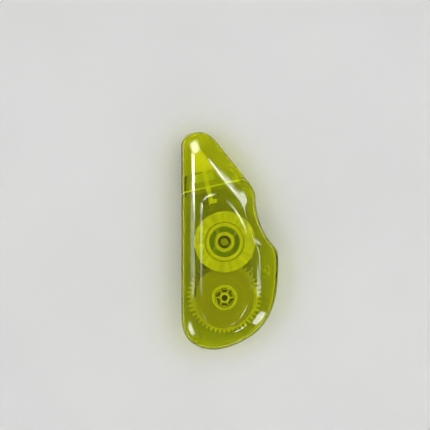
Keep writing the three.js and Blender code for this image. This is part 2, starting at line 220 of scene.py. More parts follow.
def loft(name, rings):
    """A closed solid through rings of matching points, from the lowest ring to the highest."""
    count = len(rings[0])
    faces = [tuple(reversed(range(count)))]
    for r in range(len(rings) - 1):
        for i in range(count):
            a, b = r * count + i, r * count + (i + 1) % count
            faces.append((a, b, b + count, a + count))
    top = (len(rings) - 1) * count
    faces.append(tuple(range(top, top + count)))
    return mesh_object(name, [p for ring in rings for p in ring], faces)


def extrude(name, outline, low, high):
    """A flat outline, anticlockwise seen from +Z, given a thickness."""
    return loft(name, [[(x, y, z) for x, y in outline] for z in (low, high)])


def turned(name, profile, at=ORIGIN, steps=96):
    """A closed profile of (radius, z) points turned about a vertical axis."""
    area = sum(a[0] * b[1] - b[0] * a[1] for a, b in zip(profile, profile[1:] + profile[:1]))
    if area < 0:
        profile = profile[::-1]
    count = len(profile)
    vertices = []
    for step in range(steps):
        turn = 2 * math.pi * step / steps
        vertices += [(at.x + r * math.cos(turn), at.y + r * math.sin(turn), z) for r, z in profile]
    faces = []
    for step in range(steps):
        here, ahead = step * count, (step + 1) % steps * count
        for i in range(count):
            j = (i + 1) % count
            faces.append((here + i, ahead + i, ahead + j, here + j))
    piece = mesh_object(name, vertices, faces)
    shape = bmesh.new()
    shape.from_mesh(piece.data)
    bmesh.ops.remove_doubles(shape, verts=shape.verts, dist=0.0001 * MM)
    bmesh.ops.recalc_face_normals(shape, faces=shape.faces)
    shape.to_mesh(piece.data)
    shape.free()
    return piece


def rounded(points, radius):
    """A closed outline with its corners rounded. Corners at the axis stay sharp."""
    steps = 4
    longest_share = 0.45  # of the shorter side
    smallest = 0.01
    result = []
    count = len(points)
    for i, point in enumerate(points):
        corner = Vector(point)
        before = Vector(points[i - 1]) - corner
        after = Vector(points[(i + 1) % count]) - corner
        reach = min(radius, before.length * longest_share, after.length * longest_share)
        if corner.x == 0 or reach < smallest:
            result.append(tuple(corner))
            continue
        start = corner + before.normalized() * reach
        end = corner + after.normalized() * reach
        for step in range(steps + 1):
            t = step / steps
            blend = start * (1 - t) ** 2 + corner * 2 * t * (1 - t) + end * t**2
            result.append(tuple(blend))
    return result


def disc(name, radius, low, high, at=ORIGIN, soft=SOFT):
    profile = rounded([(0, low), (radius, low), (radius, high), (0, high)], soft)
    return turned(name, profile, at)


def ring(name, inner, outer, low, high, at=ORIGIN):
    corners = [(inner, low), (outer, low), (outer, high), (inner, high)]
    return turned(name, rounded(corners, SOFT), at)


def round_edges(piece, width):
    bevel = piece.modifiers.new("rounded edges", "BEVEL")
    bevel.width = width * MM
    bevel.segments = 3
    bevel.limit_method = "ANGLE"
    bevel.angle_limit = SHARP
    bevel.use_clamp_overlap = True
    return bake(piece)


def clean(piece):
    """Merges the all but coincident points that cutting and rounding leave behind."""
    shape = bmesh.new()
    shape.from_mesh(piece.data)
    nearest, sliver = 0.004 * MM, 0.002 * MM
    bmesh.ops.remove_doubles(shape, verts=shape.verts, dist=nearest)
    bmesh.ops.dissolve_degenerate(shape, edges=shape.edges, dist=sliver)
    shape.to_mesh(piece.data)
    shape.free()


def finish_edges(piece, width=0):
    """Shades a piece smooth, and rounds its sharp edges first if a width is given."""
    clean(piece)
    if width:
        round_edges(piece, width)
        clean(piece)
    piece.data.shade_smooth()
    piece.data.set_sharp_from_angle(angle=SHARP)
    normals = piece.modifiers.new("flat faces stay flat", "WEIGHTED_NORMAL")
    normals.keep_sharp = True
    normals.weight = 100
    return piece


def rectangle(width, depth):
    """The corners of a rectangle round the origin, anticlockwise seen from +Z."""
    x, y = width / 2, depth / 2
    return [Vector(corner) for corner in ((-x, -y), (x, -y), (x, y), (-x, y))]


# ------------------------------------------------------------------ form of the case

# Each stretch runs to a point, straight or along a Bezier curve with two handles, in a number
# of steps. The side outline and the front face have matching stretches: one lofts to the other.
SIDE_OUTLINE = [
    (None, (-18.6, 36.2), 20),
    (((-18.6, 39.6), (-15.6, 41.75)), (-11.2, 41.75), 24),
    (((-8.9, 41.75), (-6.6, 39.85)), (-5.1, 38.0), 16),
    (None, (5.3, 25.1), 16),
    (((7.7, 22.1), (9.9, 19.4)), (9.9, 16.5), 20),
    (((9.9, 11.0), (11.6, 4.2)), (16.2, -1.2), 28),
    (((17.8, -3.05), (18.6, -3.8)), (18.6, -7.0), 16),
    (((18.6, -21.0), (17.3, -27.2)), (11.6, -33.7), 36),
    (((8.0, -37.8), (-0.8, -41.75)), (-6.0, -41.75), 30),
    (((-12.6, -41.75), (-18.6, -38.6)), (-18.6, -29.5), 32),
]

FRONT_FACE = [
    (None, (-13.2, 32.05), 20),
    (((-13.2, 32.7), (-12.7, 33.2)), (-12.05, 33.2), 24),
    (((-11.7, 33.2), (-11.35, 33.05)), (-11.15, 32.8), 16),
    (None, (-1.9, 20.8), 16),
    (((0.6, 17.6), (3.9, 15.0)), (4.9, 12.4), 20),
    (((6.1, 9.2), (7.4, 3.6)), (8.7, -0.6), 28),
    (((9.2, -2.2), (9.6, -4.6)), (9.7, -7.6), 16),
    (((9.9, -18.5), (9.6, -25.0)), (7.0, -29.6), 36),
    (((4.9, -33.3), (-1.5, -36.0)), (-6.4, -36.0), 30),
    (((-10.2, -36.0), (-13.2, -33.0)), (-13.2, -27.0), 32),
]

PANE_OUTLINE = [
    (None, (-11.5, 13.4), 12),
    (((-11.5, 16.4), (-8.7, 18.4)), (-5.2, 18.4), 16),
    (((-2.8, 18.4), (-1.0, 16.6)), (0.6, 14.6), 12),
    (((4.0, 10.4), (9.2, 3.2)), (9.2, -9.4), 24),
    (((9.2, -14.6), (9.0, -18.4)), (8.0, -21.8), 16),
    (((6.4, -28.2), (2.4, -33.6)), (-2.4, -33.6), 20),
    (((-7.4, -33.6), (-11.5, -30.2)), (-11.5, -24.4), 20),
]

EASING_ROUNDS = 6
EDGE_STEPS = 14

# The inner walls have tighter edges: each edge gives up this share of the depth.
BACK_WIDTH_SHARE = 0.4
BACK_HEIGHT_SHARE = 0.3
FRONT_SHARE = 0.3


def trace(outline):
    """The points of a closed outline, anticlockwise seen from +Z, with the joints eased."""
    points = []
    start = Vector(outline[-1][1])
    for handles, end, steps in outline:
        end = Vector(end)
        if handles:
            first, second = (Vector(handle) for handle in handles)
            curve = interpolate_bezier(start, first, second, end, steps + 1)
            points += [Vector(p[:2]) for p in curve[1:]]
        else:
            points += [start.lerp(end, (i + 1) / steps) for i in range(steps)]
        start = end
    for _ in range(EASING_ROUNDS):
        ahead = points[1:] + points[:1]
        points = [(points[i - 1] + 2 * p + ahead[i]) / 4 for i, p in enumerate(points)]
    return points[::-1]


def inset(points, distance):
    """A closed outline moved inwards, corner by corner."""
    moved = []
    for i, point in enumerate(points):
        before = (point - points[i - 1]).normalized()
        after = (points[(i + 1) % len(points)] - point).normalized()
        along = (before + after).normalized()
        inwards = Vector((-along.y, along.x))
        moved.append(point + inwards * distance / along.dot(after))
    return moved


SIDE_POINTS = trace(SIDE_OUTLINE)
FACE_POINTS = trace(FRONT_FACE)
PANE_POINTS = trace(PANE_OUTLINE)


def casing(depth):
    """The rounded form of the whole roller, shrunk by `depth` on every side."""
    side = inset(SIDE_POINTS, depth)
    back = inset(SIDE_POINTS, BACK_EDGE_WIDTH + depth * BACK_WIDTH_SHARE)
    front = inset(FACE_POINTS, depth * FRONT_SHARE)
    back_start = BACK_EDGE_HEIGHT + depth * BACK_HEIGHT_SHARE
    crown = THICKNESS - depth - CROWN_START
    power = 2 / CROWN_FULLNESS
    angles = [math.pi / 2 * i / EDGE_STEPS for i in range(EDGE_STEPS + 1)]
    rings = []

    def level(face, share, z):
        rings.append([(*face[i].lerp(side[i], share), z) for i in range(len(side))])

    for angle in angles:
        level(back, math.sin(angle), back_start - (back_start - depth) * math.cos(angle))
    for angle in angles:
        share = max(math.cos(angle), 0) ** power
        level(front, share, CROWN_START + crown * math.sin(angle) ** power)
    return loft("casing", rings)


def edge_box(width, depth, low, high, x, y):
    """A box in the frame of the cap's edge: x along the edge, y towards the nose."""
    turn = Matrix.Rotation(CAP_TILT, 2)
    corners = rectangle(width, depth)
    outline = [turn @ (corner + Vector((x, y))) + CAP_EDGE for corner in corners]
    return extrude("edge box", outline, low, high)


def nose_side(offset):
    """Everything on the nose side of the plane that lies `offset` beyond the cap's edge."""
    return edge_box(BEYOND, BEYOND, -BEYOND, BEYOND, 0, BEYOND / 2 + offset)


def slab(low, high):
    return extrude("slab", rectangle(2 * BEYOND, 2 * BEYOND), low, high)


def covers():
    """Both covers in one hollow form, with the neck that the cap slides over."""
    body = cut(casing(0), nose_side(0))
    neck = cut(keep(casing(NECK_DEPTH), nose_side(-WALL)), nose_side(NECK_LENGTH))
    body_hollow = cut(casing(WALL), nose_side(-WALL))
    neck_hollow = keep(casing(NECK_DEPTH + NECK_WALL), nose_side(-2 * WALL))
    return cut(unite(body, neck), body_hollow, neck_hollow)


# ------------------------------------------------------------------ clear pieces


def back_cover():
    piece = keep(covers(), slab(-1, SEAM - SEAM_GAP / 2))
    piece.name = "back_cover"
    start = WALL - SUNK
    for post in POSTS:
        unite(piece, disc("post", post["radius"], start, post["top"], post["at"], soft=0.3))
    foot_top = GEAR_LOW - 0.1
    for post, outer in zip(POSTS, FOOT_RADII):
        unite(piece, ring("foot", post["radius"] - OVERLAP, outer, start, foot_top, post["at"]))
    return finish_edges(piece, width=0.15)


def pane():
    """The raised pane, with a soft slope round its edge."""
    slope = 1.1
    steps = 8
    foot = THICKNESS - 0.02  # just under the front face, so that the two join
    rings = [[(*p, THICKNESS - WALL / 2) for p in PANE_POINTS]]
    for i in range(steps + 1):
        t = i / steps
        rise = (1 - math.cos(math.pi * t)) / 2
        z = foot + (PANE_TOP - foot) * rise
        rings.append([(*p, z) for p in inset(PANE_POINTS, slope * t)])
    return loft("pane", rings)


def pane_groove():
    """What is cut away for the fine groove round the pane."""
    width, depth = 0.4, 0.3
    groove = extrude("groove", inset(PANE_POINTS, -width), THICKNESS - depth, PANE_TOP)
    return cut(groove, extrude("inside", PANE_POINTS, 0, PANE_TOP + 1))


def sockets_and_stops():
    """The sockets that the posts stand in, and the two rings that keep the reels down."""
    top = THICKNESS - WALL + SUNK
    tubes = []
    for post in POSTS:
        inner = post["radius"] + SOCKET_GAP
        tubes.append(ring("socket", inner, inner + SOCKET_WALL, post["socket"], top, post["at"]))
    for name, at, radii, bottom in STOPS:
        tubes.append(ring(name, *radii, bottom, top, at))
    return [keep(tube, casing(SUNK)) for tube in tubes]


def neck_ridges():
    """The ridges that hold the cap, and the one all round the root of the neck."""
    neck_top = THICKNESS - NECK_DEPTH
    reach = 0.5  # above and below the neck's top, before the ridges are cut to shape
    low, high = neck_top - reach, neck_top + reach
    length, width = SNAP_RIDGE_LENGTH, SNAP_RIDGE_WIDTH
    ridges = [edge_box(length, width, low, high, SNAP_RIDGE_MIDDLE, y) for y in SNAP_RIDGES]
    ridges.append(edge_box(BEYOND, ROOT_RIDGE_WIDTH, SEAM + 1, THICKNESS, 0, ROOT_RIDGE))
    outer, inner = NECK_DEPTH - RIDGE_HEIGHT, NECK_DEPTH + NECK_WALL / 2
    return [cut(keep(ridge, casing(outer)), casing(inner)) for ridge in ridges]


def front_cover():
    piece = keep(covers(), slab(SEAM + SEAM_GAP / 2, THICKNESS + 1))
    piece.name = "front_cover"
    round_edges(piece, width=0.15)
    cut(piece, pane_groove())
    unite(piece, pane(), *sockets_and_stops(), *neck_ridges())
    return finish_edges(piece)


def nose_cap():
    piece = cut(keep(casing(0), nose_side(CAP_GAP)), casing(CAP_WALL))
    piece.name = "nose_cap"
    return finish_edges(piece, width=0.18)


# ------------------------------------------------------------------ gears, reels and tape


def gear_outline(teeth, phase):
    """The outline of a spur gear with involute flanks."""
    pitch = GEAR_MODULE * teeth / 2
    base = pitch * math.cos(PRESSURE_ANGLE)
    tip = pitch + TOOTH_ABOVE_PITCH
    root = pitch - TOOTH_BELOW_PITCH

    def involute(radius):
        return math.sqrt((radius / base) ** 2 - 1) - math.acos(base / radius)

    half_tooth = math.pi / (2 * teeth) - BACKLASH / (2 * pitch) + involute(pitch)
    steps = 5
    start = base * 1.0001  # just outside the base circle, where the involute begins
    radii = [root + (tip - root) * i / steps for i in range(steps + 1)]
    flank = [(r, half_tooth - involute(max(r, start))) for r in radii]
    outline = []
    for tooth in range(teeth):
        middle = phase + 2 * math.pi * tooth / teeth
        sides = [(r, middle - half) for r, half in flank]
        sides += [(r, middle + half) for r, half in reversed(flank)]
        outline += [(r * math.cos(angle), r * math.sin(angle)) for r, angle in sides]
    return outline


def onto_axis(piece, at):
    """Moves a piece made about the origin to its axis, so that its own Z axis is that axis."""
    piece.location = (at.x * MM, at.y * MM, 0)
    return piece


def hexagon(name, radius, low, high):
    angles = [math.pi / 3 * i for i in range(6)]
    corners = [(radius * math.cos(angle), radius * math.sin(angle)) for angle in angles]
    return extrude(name, corners, low, high)


def bar(length, width, low, high, angle):
    """A flat bar across the Z axis, turned by an angle."""
    turn = Matrix.Rotation(angle, 2)
    return extrude("bar", [turn @ corner for corner in rectangle(length, width)], low, high)


def drive_gear():
    """The gear under the full roll: a low rim, a recess underneath and slots round its shaft."""
    rim, rim_height = (12.1, 12.5), 0.12
    recess, recess_depth = (5.6, 10.8), 0.25
    slots, spoke_length, spoke_width = (2.75, 3.5), 8, 0.8
    piece = extrude("geared_wheel", gear_outline(DRIVE_TEETH, 0), GEAR_LOW, GEAR_HIGH)
    start = GEAR_HIGH - OVERLAP
    unite(piece, hexagon("shaft", HEXAGON, start, SHAFT_TOP))
    unite(piece, ring("rim", *rim, start, GEAR_HIGH + rim_height))
    cut(piece, disc("bore", SUPPLY_POST["radius"] + CLEARANCE, *THROUGH))
    cut(piece, ring("web recess", *recess, GEAR_LOW - OVERLAP, GEAR_LOW + recess_depth))
    spokes = [bar(spoke_length, spoke_width, *THROUGH, math.pi / 3 * i) for i in range(3)]
    cut(piece, cut(ring("slots", *slots, -1, GEAR_HIGH + 1), *spokes))
    return onto_axis(finish_edges(piece, width=0.08), SUPPLY)


def clutch_star():
    """A collar on the hexagon with six curved arms."""
    low, high = layer("clutch_star")
    collar, reach, arm, root = 2.5, 3.5, 0.4, 0.25
    sweep = math.radians(42)
    steps = 12

    def arc(radius, start, end):
        angles = [start + (end - start) * i / steps for i in range(steps + 1)]
        return [Vector((math.cos(angle), math.sin(angle))) * radius for angle in angles]

    outline = [Vector((collar - OVERLAP, -root)), Vector((reach, -root))]
    outline += arc(reach, 0, sweep) + arc(reach - arm, sweep, root / reach)
    outline.append(Vector((collar - OVERLAP, root)))
    piece = hexagon("clutch", collar, low, high)
    for i in range(6):
        turn = Matrix.Rotation(math.pi / 3 * i, 2)
        unite(piece, extrude("arm", [turn @ p for p in outline], low, high))
    cut(piece, hexagon("hexagon", HEXAGON + CLEARANCE, *THROUGH))
    return onto_axis(finish_edges(piece, width=0.07), SUPPLY)


def supply_core():
    """The core of the full roll, with a thin lip under the tape."""
    low, high = layer("supply_core")
    bore, lip = 3.7, 0.5
    outer = outer_radius("supply_core")
    profile = [(bore, low), (outer, low), (outer, low + lip), (CORE, low + lip)]
    profile += [(CORE, high), (bore, high)]
    piece = turned("supply_reel", rounded(profile, SOFT), steps=128)
    return onto_axis(finish_edges(piece), SUPPLY)


WOUND_GAP = 0.05  # between the first turn and what it is wound on


def layered(name, inner, outer, spacing):
    """A wound ring of tape: its flat faces show the turns as fine ridges, a little uneven."""
    relief = 0.03
    furrow = relief * 0.8
    shoulder = spacing * 0.15
    quick, slow = 2.4, 0.7  # two waves out of step make the turns uneven
    top, bottom = [], []
    for i in range(round((outer - inner) / spacing)):
        near, far = inner + spacing * i, inner + spacing * (i + 1)
        dip = relief * (1 + math.sin(i * quick) * math.sin(i * slow)) / 2
        for radius, depth in ((near + shoulder, dip), (far - shoulder, dip), (far, dip + furrow)):
            top.append((radius, TAPE_HIGH - depth))
            bottom.append((radius, TAPE_LOW + depth))
    profile = bottom[:-1] + top[-2::-1]
    return finish_edges(turned(name, profile, steps=128))


def supply_roll():
    piece = layered("tape_roll", CORE + WOUND_GAP, ROLL_RADIUS, spacing=0.16)
    return onto_axis(piece, SUPPLY)


def takeup_wrap():
    outer = outer_radius("takeup_wrap")
    piece = layered("carrier_turns", DRUM + WOUND_GAP, outer, spacing=0.11)
    return onto_axis(piece, TAKEUP)


def takeup_hub():
    """The take-up gear, flange, drum and sleeve in one. A web and four ribs hold the sleeve."""
    low, high = layer("takeup_hub")
    neck, flange, flange_thickness, well = 6.7, 9, 0.5, 2.5
    rib_length, rib_width = 2 * (POCKET + OVERLAP), 1
    phase = math.pi * (1 / TAKEUP_TEETH - 1 / 2)
    piece = extrude("takeup_reel", gear_outline(TAKEUP_TEETH, phase), GEAR_LOW, GEAR_HIGH)
    unite(piece, disc("neck", neck, GEAR_LOW, FLANGE_TOP))
    unite(piece, disc("flange", flange, FLANGE_TOP - flange_thickness, FLANGE_TOP))
    unite(piece, disc("drum", DRUM, FLANGE_TOP - 0.1, high, soft=0.3))
    cut(piece, disc("pockets", POCKET, *THROUGH))
    unite(piece, disc("sleeve", SLEEVE, low, high))
    unite(piece, disc("web", POCKET + OVERLAP, *WEB))
    for angle in (RIB_TURN, RIB_TURN + math.pi / 2):
        unite(piece, bar(rib_length, rib_width, WEB[0], RIB_TOP, angle))
    cut(piece, disc("bore", TAKEUP_POST["radius"] + CLEARANCE, *THROUGH))
    cut(piece, disc("well", well, FLANGE_TOP, THICKNESS + 1))
    return onto_axis(finish_edges(piece, width=0.08), TAKEUP)


def takeup_flange():
    """A thin disc, a little sunk between its rim and the bead round its bore."""
    low, high = layer("takeup_flange")
    gap, rim, bead, slope, sunk = 0.25, 0.7, 0.6, 0.1, 0.12
    inner = DRUM + gap
    profile = [
        (inner, low),
        (FLANGE_RADIUS, low),
        (FLANGE_RADIUS, high),
        (FLANGE_RADIUS - rim, high),
        (FLANGE_RADIUS - rim - slope, high - sunk),
        (inner + bead + slope, high - sunk),
        (inner + bead, high),
        (inner, high),
    ]
    piece = turned("takeup_disc", rounded(profile, radius=0.3), steps=160)
    return onto_axis(finish_edges(piece), TAKEUP)


# Outlines of the head, seen from above: the edge that presses the tape down, and what holds it.
WEDGE = [(-13.5, 38.9), (-13.55, 33), (-13.35, 26), (-10.55, 26.6), (-12.45, 36.2), (-13.2, 38.9)]
SIDE_PLATE = [
    (-14.7, 25.7),
    (-6.3, 27.4),
    (-12.6, 37.4),
    (-13.2, 37.9),
    (-13.9, 37.7),
    (-14.4, 36.6),
]
STEM = [(-10.9, 28), (-7.75, 14), (-4.9, 14.7), (-5.2, 16.1), (-6.4, 15.8), (-9.2, 28)]


def head():
    """The white head: a wedge between two side plates, each with a stem."""
    edge, corner, gap = 0.1, 0.4, 0.3
    low, high = TAPE_LOW - gap, TAPE_HIGH + gap
    piece = round_edges(extrude("head", WEDGE, low - gap, high + gap), width=edge)
    for outline, thickness in ((SIDE_PLATE, 0.6), (STEM, 0.9)):
        soft = rounded(outline, corner)
        for bottom, top in ((high, high + thickness), (low - thickness, low)):
            unite(piece, round_edges(extrude("plate", soft, bottom, top), width=edge))
    return finish_edges(piece)


def strip(name, points):
    """Tape on edge along a smooth line through a few points."""
    thickness = 0.1
    points_per_stretch = 9
    knots = [Vector(p) for p in points]
    last = len(knots) - 1
    line = []
    for i in range(last):
        here, ahead = knots[i], knots[i + 1]
        reach = (ahead - here).length / 3
        leave = (ahead - knots[max(i - 1, 0)]).normalized() * reach
        arrive = (knots[min(i + 2, last)] - here).normalized() * reach
        handles = here + leave, ahead - arrive
        curve = interpolate_bezier(here, *handles, ahead, points_per_stretch)
        line += [Vector(p[:2]) for p in curve[:-1]]
    line.append(knots[last])
    right, left = [], []
    for i, point in enumerate(line):
        along = (line[min(i + 1, len(line) - 1)] - line[max(i - 1, 0)]).normalized()
        across = Vector((-along.y, along.x)) * thickness / 2
        right.append(point - across)
        left.append(point + across)
    return finish_edges(extrude(name, right + left[::-1], TAPE_LOW, TAPE_HIGH))


TAPE_X = SUPPLY.x - ROLL_RADIUS - 0.16  # the tape leaves the roll just outside its last turn
TAPE_LINE = [
    (TAPE_X, SUPPLY.y),
    (TAPE_X, 5),
    (TAPE_X - 0.03, 33),
    (TAPE_X - 0.05, 38.4),
    (TAPE_X + 0.1, 39.1),
]
CARRIER_LINE = [
    (-13.15, 39.2),
    (-12.95, 38.6),
    (-12.2, 36.2),
    (-10.35, 26.6),
    (-7.85, 14.3),
    (-7.5, 12.9),
    (-7.6, 12.2),
    (-9.95, 1.1),
]

# ------------------------------------------------------------------ materials


class Nodes:
    """A node tree: `add` makes a node, and a socket or value given by name fills its input."""

    def __init__(self, tree):
        self.tree = tree

    def add(self, kind, settings=None, **inputs):
        node = self.tree.nodes.new("ShaderNode" + kind)
        for key, value in (settings or {}).items():
            setattr(node, key, value)
        for key, value in inputs.items():
            self.fill(node.inputs[key.replace("_", " ")], value)
        return node

    def fill(self, socket, value):
        if isinstance(value, bpy.types.NodeSocket):
            self.tree.links.new(value, socket)
        elif isinstance(value, tuple) and len(value) == 3 and socket.type == "RGBA":
            socket.default_value = (*value, 1)
        else:
            socket.default_value = value

    def math(self, operation, *values, clamp=False):
        node = self.add("Math", {"operation": operation, "use_clamp": clamp})
        for socket, value in zip(node.inputs, values):
            self.fill(socket, value)
        return node.outputs[0]


class Shader(Nodes):
    """The nodes of a new material."""

    def __init__(self, name):
        self.material = bpy.data.materials.new(name)
        self.material.use_nodes = True
        super().__init__(self.material.node_tree)
        self.tree.nodes.clear()

    def place(self):
        return self.add("TexCoord").outputs["Object"]

    def noise(self, scale, detail, where=None):
        texture = self.add("TexNoise", Vector=where or self.place(), Scale=scale, Detail=detail)
        return texture.outputs["Fac"]

    def between(self, factor, low, high):
        """A colour or number that runs from low to high with the factor."""
        if isinstance(low, tuple):
            ramp = self.add("ValToRGB", Fac=factor)
            for element, position, colour in zip(ramp.color_ramp.elements, (0.3, 0.7), (low, high)):
                element.position = position
                element.color = (*colour, 1)
            return ramp.outputs["Color"]
        span = self.add("MapRange", Value=factor, To_Min=low, To_Max=high)
        return span.outputs["Result"]

    def bump(self, height, strength, distance):
        node = self.add("Bump", Height=height, Strength=strength, Distance=distance)
        return node.outputs["Normal"]

    def grain(self):
        """The very fine grain of moulded acetal."""
        return self.bump(self.noise(5200, 2), strength=0.12, distance=0.00004)

    def polar(self):
        """Distance from the piece's own axis and the angle round it."""
        parts = self.add("SeparateXYZ", Vector=self.place()).outputs
        flat = self.add("CombineXYZ", X=parts["X"], Y=parts["Y"]).outputs["Vector"]
        radius = self.add("VectorMath", {"operation": "LENGTH"}, Vector=flat).outputs["Value"]
        return radius, self.math("ARCTAN2", parts["Y"], parts["X"])

    def output(self, surface):
        self.add("OutputMaterial", Surface=surface)
        return self.material


def clear_plastic(name, low, high, ior=1.52):
    """Polished tinted polystyrene. Lamps shine through it, tinted, to light what is inside."""
    shader = Shader(name)
    cloud = shader.noise(60, 2)
    tint_per_face = [tuple(math.sqrt(c) for c in tint) for tint in (low, high)]
    waves = shader.bump(shader.noise(90, 1), strength=0.05, distance=0.0006)
    glass = shader.add(
        "BsdfPrincipled",
        Base_Color=shader.between(cloud, low, high),
        Roughness=0.02,
        IOR=ior,
        Transmission_Weight=1.0,
        Normal=waves,
    )
    through = shader.add("BsdfTransparent", Color=shader.between(cloud, *tint_per_face))
    path = shader.add("LightPath")
    mix = shader.add("MixShader", Fac=path.outputs["Is Shadow Ray"])
    shader.fill(mix.inputs[1], glass.outputs["BSDF"])
    shader.fill(mix.inputs[2], through.outputs["BSDF"])
    return shader.output(mix.outputs["Shader"])


ACETAL_DEPTH = (0.0012, 0.0011, 0.0009)  # how far red, green and blue light gets, in metres


def white_plastic(name, low, high):
    """Moulded acetal: faint mottling, a satin skin and a very fine grain."""
    shader = Shader(name)
    cloud = shader.noise(220, 4)
    plastic = shader.add(
        "BsdfPrincipled",
        Base_Color=shader.between(cloud, low, high),
        Roughness=shader.between(cloud, 0.32, 0.46),
        IOR=1.48,
        Subsurface_Weight=0.15,
        Subsurface_Radius=ACETAL_DEPTH,
        Normal=shader.grain(),
    )
    return shader.output(plastic.outputs["BSDF"])


def flange_plastic(name, low, high):
    """White plastic with the faint flow marks that fan out from the hub."""
    shader = Shader(name)
    radius, angle = shader.polar()
    fan = shader.add("CombineXYZ", X=angle, Y=radius).outputs["Vector"]
    streaks = shader.noise(3.2, 2, fan)
    plastic = shader.add(
        "BsdfPrincipled",
        Base_Color=shader.between(streaks, low, high),
        Roughness=shader.between(streaks, 0.3, 0.42),
        Subsurface_Weight=0.15,
        Subsurface_Radius=ACETAL_DEPTH,
        Normal=shader.grain(),
    )
    return shader.output(plastic.outputs["BSDF"])


def wound_tape(name, low, high):
    """Tape seen on edge: thin darker and lighter turns, some a little uneven."""
    shader = Shader(name)
    radius, _ = shader.polar()
    where = shader.add("CombineXYZ", X=radius).outputs["Vector"]
    turns = shader.noise(4200, 2, where)
    broad = shader.noise(700, 3, where)
    shade = shader.math("MULTIPLY_ADD", turns, 0.55, shader.between(broad, 0.05, 0.4))
    tape = shader.add(
        "BsdfPrincipled",
        Base_Color=shader.between(shade, low, high),
        Roughness=shader.between(turns, 0.45, 0.7),
        Normal=shader.bump(turns, strength=0.3, distance=0.00005),
    )
    return shader.output(tape.outputs["BSDF"])


def flat_tape(name, low, high, roughness):
    """The flat side of the tape: a fine even tooth with a few broad clouds."""
    shader = Shader(name)
    tooth = shader.noise(9000, 2)
    tape = shader.add(
        "BsdfPrincipled",
        Base_Color=shader.between(shader.noise(400, 4), low, high),
        Roughness=shader.between(tooth, *roughness),
        Normal=shader.bump(tooth, strength=0.2, distance=0.00003),
    )
    return shader.output(tape.outputs["BSDF"])


def paper_floor():
    shader = Shader("pale floor")
    paper = shader.add(
        "BsdfPrincipled",
        Base_Color=shader.between(shader.noise(14, 3), (0.78, 0.78, 0.77), (0.82, 0.82, 0.81)),
        Roughness=0.8,
    )
    return shader.output(paper.outputs["BSDF"])


clear = clear_plastic("clear case plastic", (0.785, 0.82, 0.014), (0.81, 0.845, 0.018))
# Painted light: the cap's plastic is tinted lighter than the case's, to offset the shade where the
# cap's and the neck's walls lie over one another.
clear_cap = clear_plastic("cap plastic lightened against shade", (0.91, 0.935, 0.014), (0.93, 0.95, 0.018))
# Painted light: a lighter tinted copy of the case plastic, bending light less, for the neck, the
# posts and their sockets, where the extra walls would render darker.
clear_lightened_against_shade = clear_plastic("clear plastic lightened against shade", (0.95, 0.965, 0.12), (0.96, 0.975, 0.16), ior=1.3)
# Painted light: the ridges round the neck and at the parting line are painted an opaque pale lime,
# standing in for the light that the clear edges carry and shine with.
painted_light_and_shade = white_plastic("frosted ridge", (0.70, 0.84, 0.30), (0.76, 0.90, 0.36))
# Painted shade: the take-up post's end is painted an opaque mid grey, standing in for the dim
# middle of the deep well round the post.
post_end_painted_shade = white_plastic("frosted post end", (0.28, 0.30, 0.18), (0.34, 0.36, 0.22))
white = white_plastic("white acetal", (0.80, 0.80, 0.77), (0.86, 0.86, 0.83))
# Painted light: the gear is whiter than the other white pieces, to offset the shade on its teeth
# deep under the cover.
gear_white_painted_lighter = white_plastic("white gear", (0.88, 0.88, 0.85), (0.94, 0.94, 0.91))
flange_white = flange_plastic("white flange", (0.62, 0.62, 0.59), (0.98, 0.98, 0.95))
# Painted shade: the take-up hub's pockets are coloured darker and greener than the white, their
# walls and ribs and darker still their floor, for the shade deep inside them.
pocket_floor_painted_shade = white_plastic("pocket floor in painted shade", (0.44, 0.62, 0.42), (0.50, 0.68, 0.48))
pocket_walls_painted_shade = white_plastic("pocket walls in painted shade", (0.50, 0.58, 0.48), (0.56, 0.64, 0.54))
roll_edge = wound_tape("wound tape edge", (0.34, 0.33, 0.28), (0.48, 0.46, 0.39))
carrier_edge = wound_tape("wound carrier edge", (0.42, 0.40, 0.30), (0.62, 0.60, 0.48))
coated = flat_tape("coated tape", (0.80, 0.80, 0.78), (0.88, 0.88, 0.86), (0.5, 0.7))
carrier = flat_tape("used carrier", (0.50, 0.48, 0.38), (0.62, 0.60, 0.50), (0.3, 0.5))

# ------------------------------------------------------------------ assembly

PIECES = [
    (back_cover(), "back_shell", "case", "clear_case", clear),
    (front_cover(), "front_shell", "case", "clear_case", clear),
    (nose_cap(), "tip_cap", "cap", "clear_cap", clear_cap),
    (head(), "applicator_head", "case", "white_plastic", white),
    (strip("tape_line", TAPE_LINE), "tape_run", "case", "correction_tape", coated),
    (strip("carrier_line", CARRIER_LINE), "carrier_run", "case", "used_carrier", carrier),
    (drive_gear(), "drive_gear", "drive", "white_plastic", gear_white_painted_lighter),
    (clutch_star(), "clutch_star", "drive", "white_plastic", white),
    (supply_core(), "supply_core", "supply", "white_plastic", white),
    (supply_roll(), "supply_roll", "supply", "correction_tape", roll_edge),
    (takeup_hub(), "takeup_hub", "takeup", "white_plastic", white),
    (takeup_flange(), "takeup_flange", "takeup", "white_plastic", flange_white),
    (takeup_wrap(), "takeup_wrap", "takeup", "used_carrier", carrier_edge),
]

for piece, node, body, slot, material in PIECES:
    piece.data.materials.clear()
    piece.data.materials.append(material)
    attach(piece, body)
    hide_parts(node)

# ------------------------------------------------------------------ second materials: painted light and shade

# How far from a wall, a post, the middle of a ridge or the top of a rib its faces end.
MARGIN = 0.05
EDGE_MARGIN = 0.02
POST_REACH = 1.2
POST_END = 0.35
RIDGE_REACH = 0.24
RIB_MARGIN = 0.1
WEB_MARGIN = 0.2


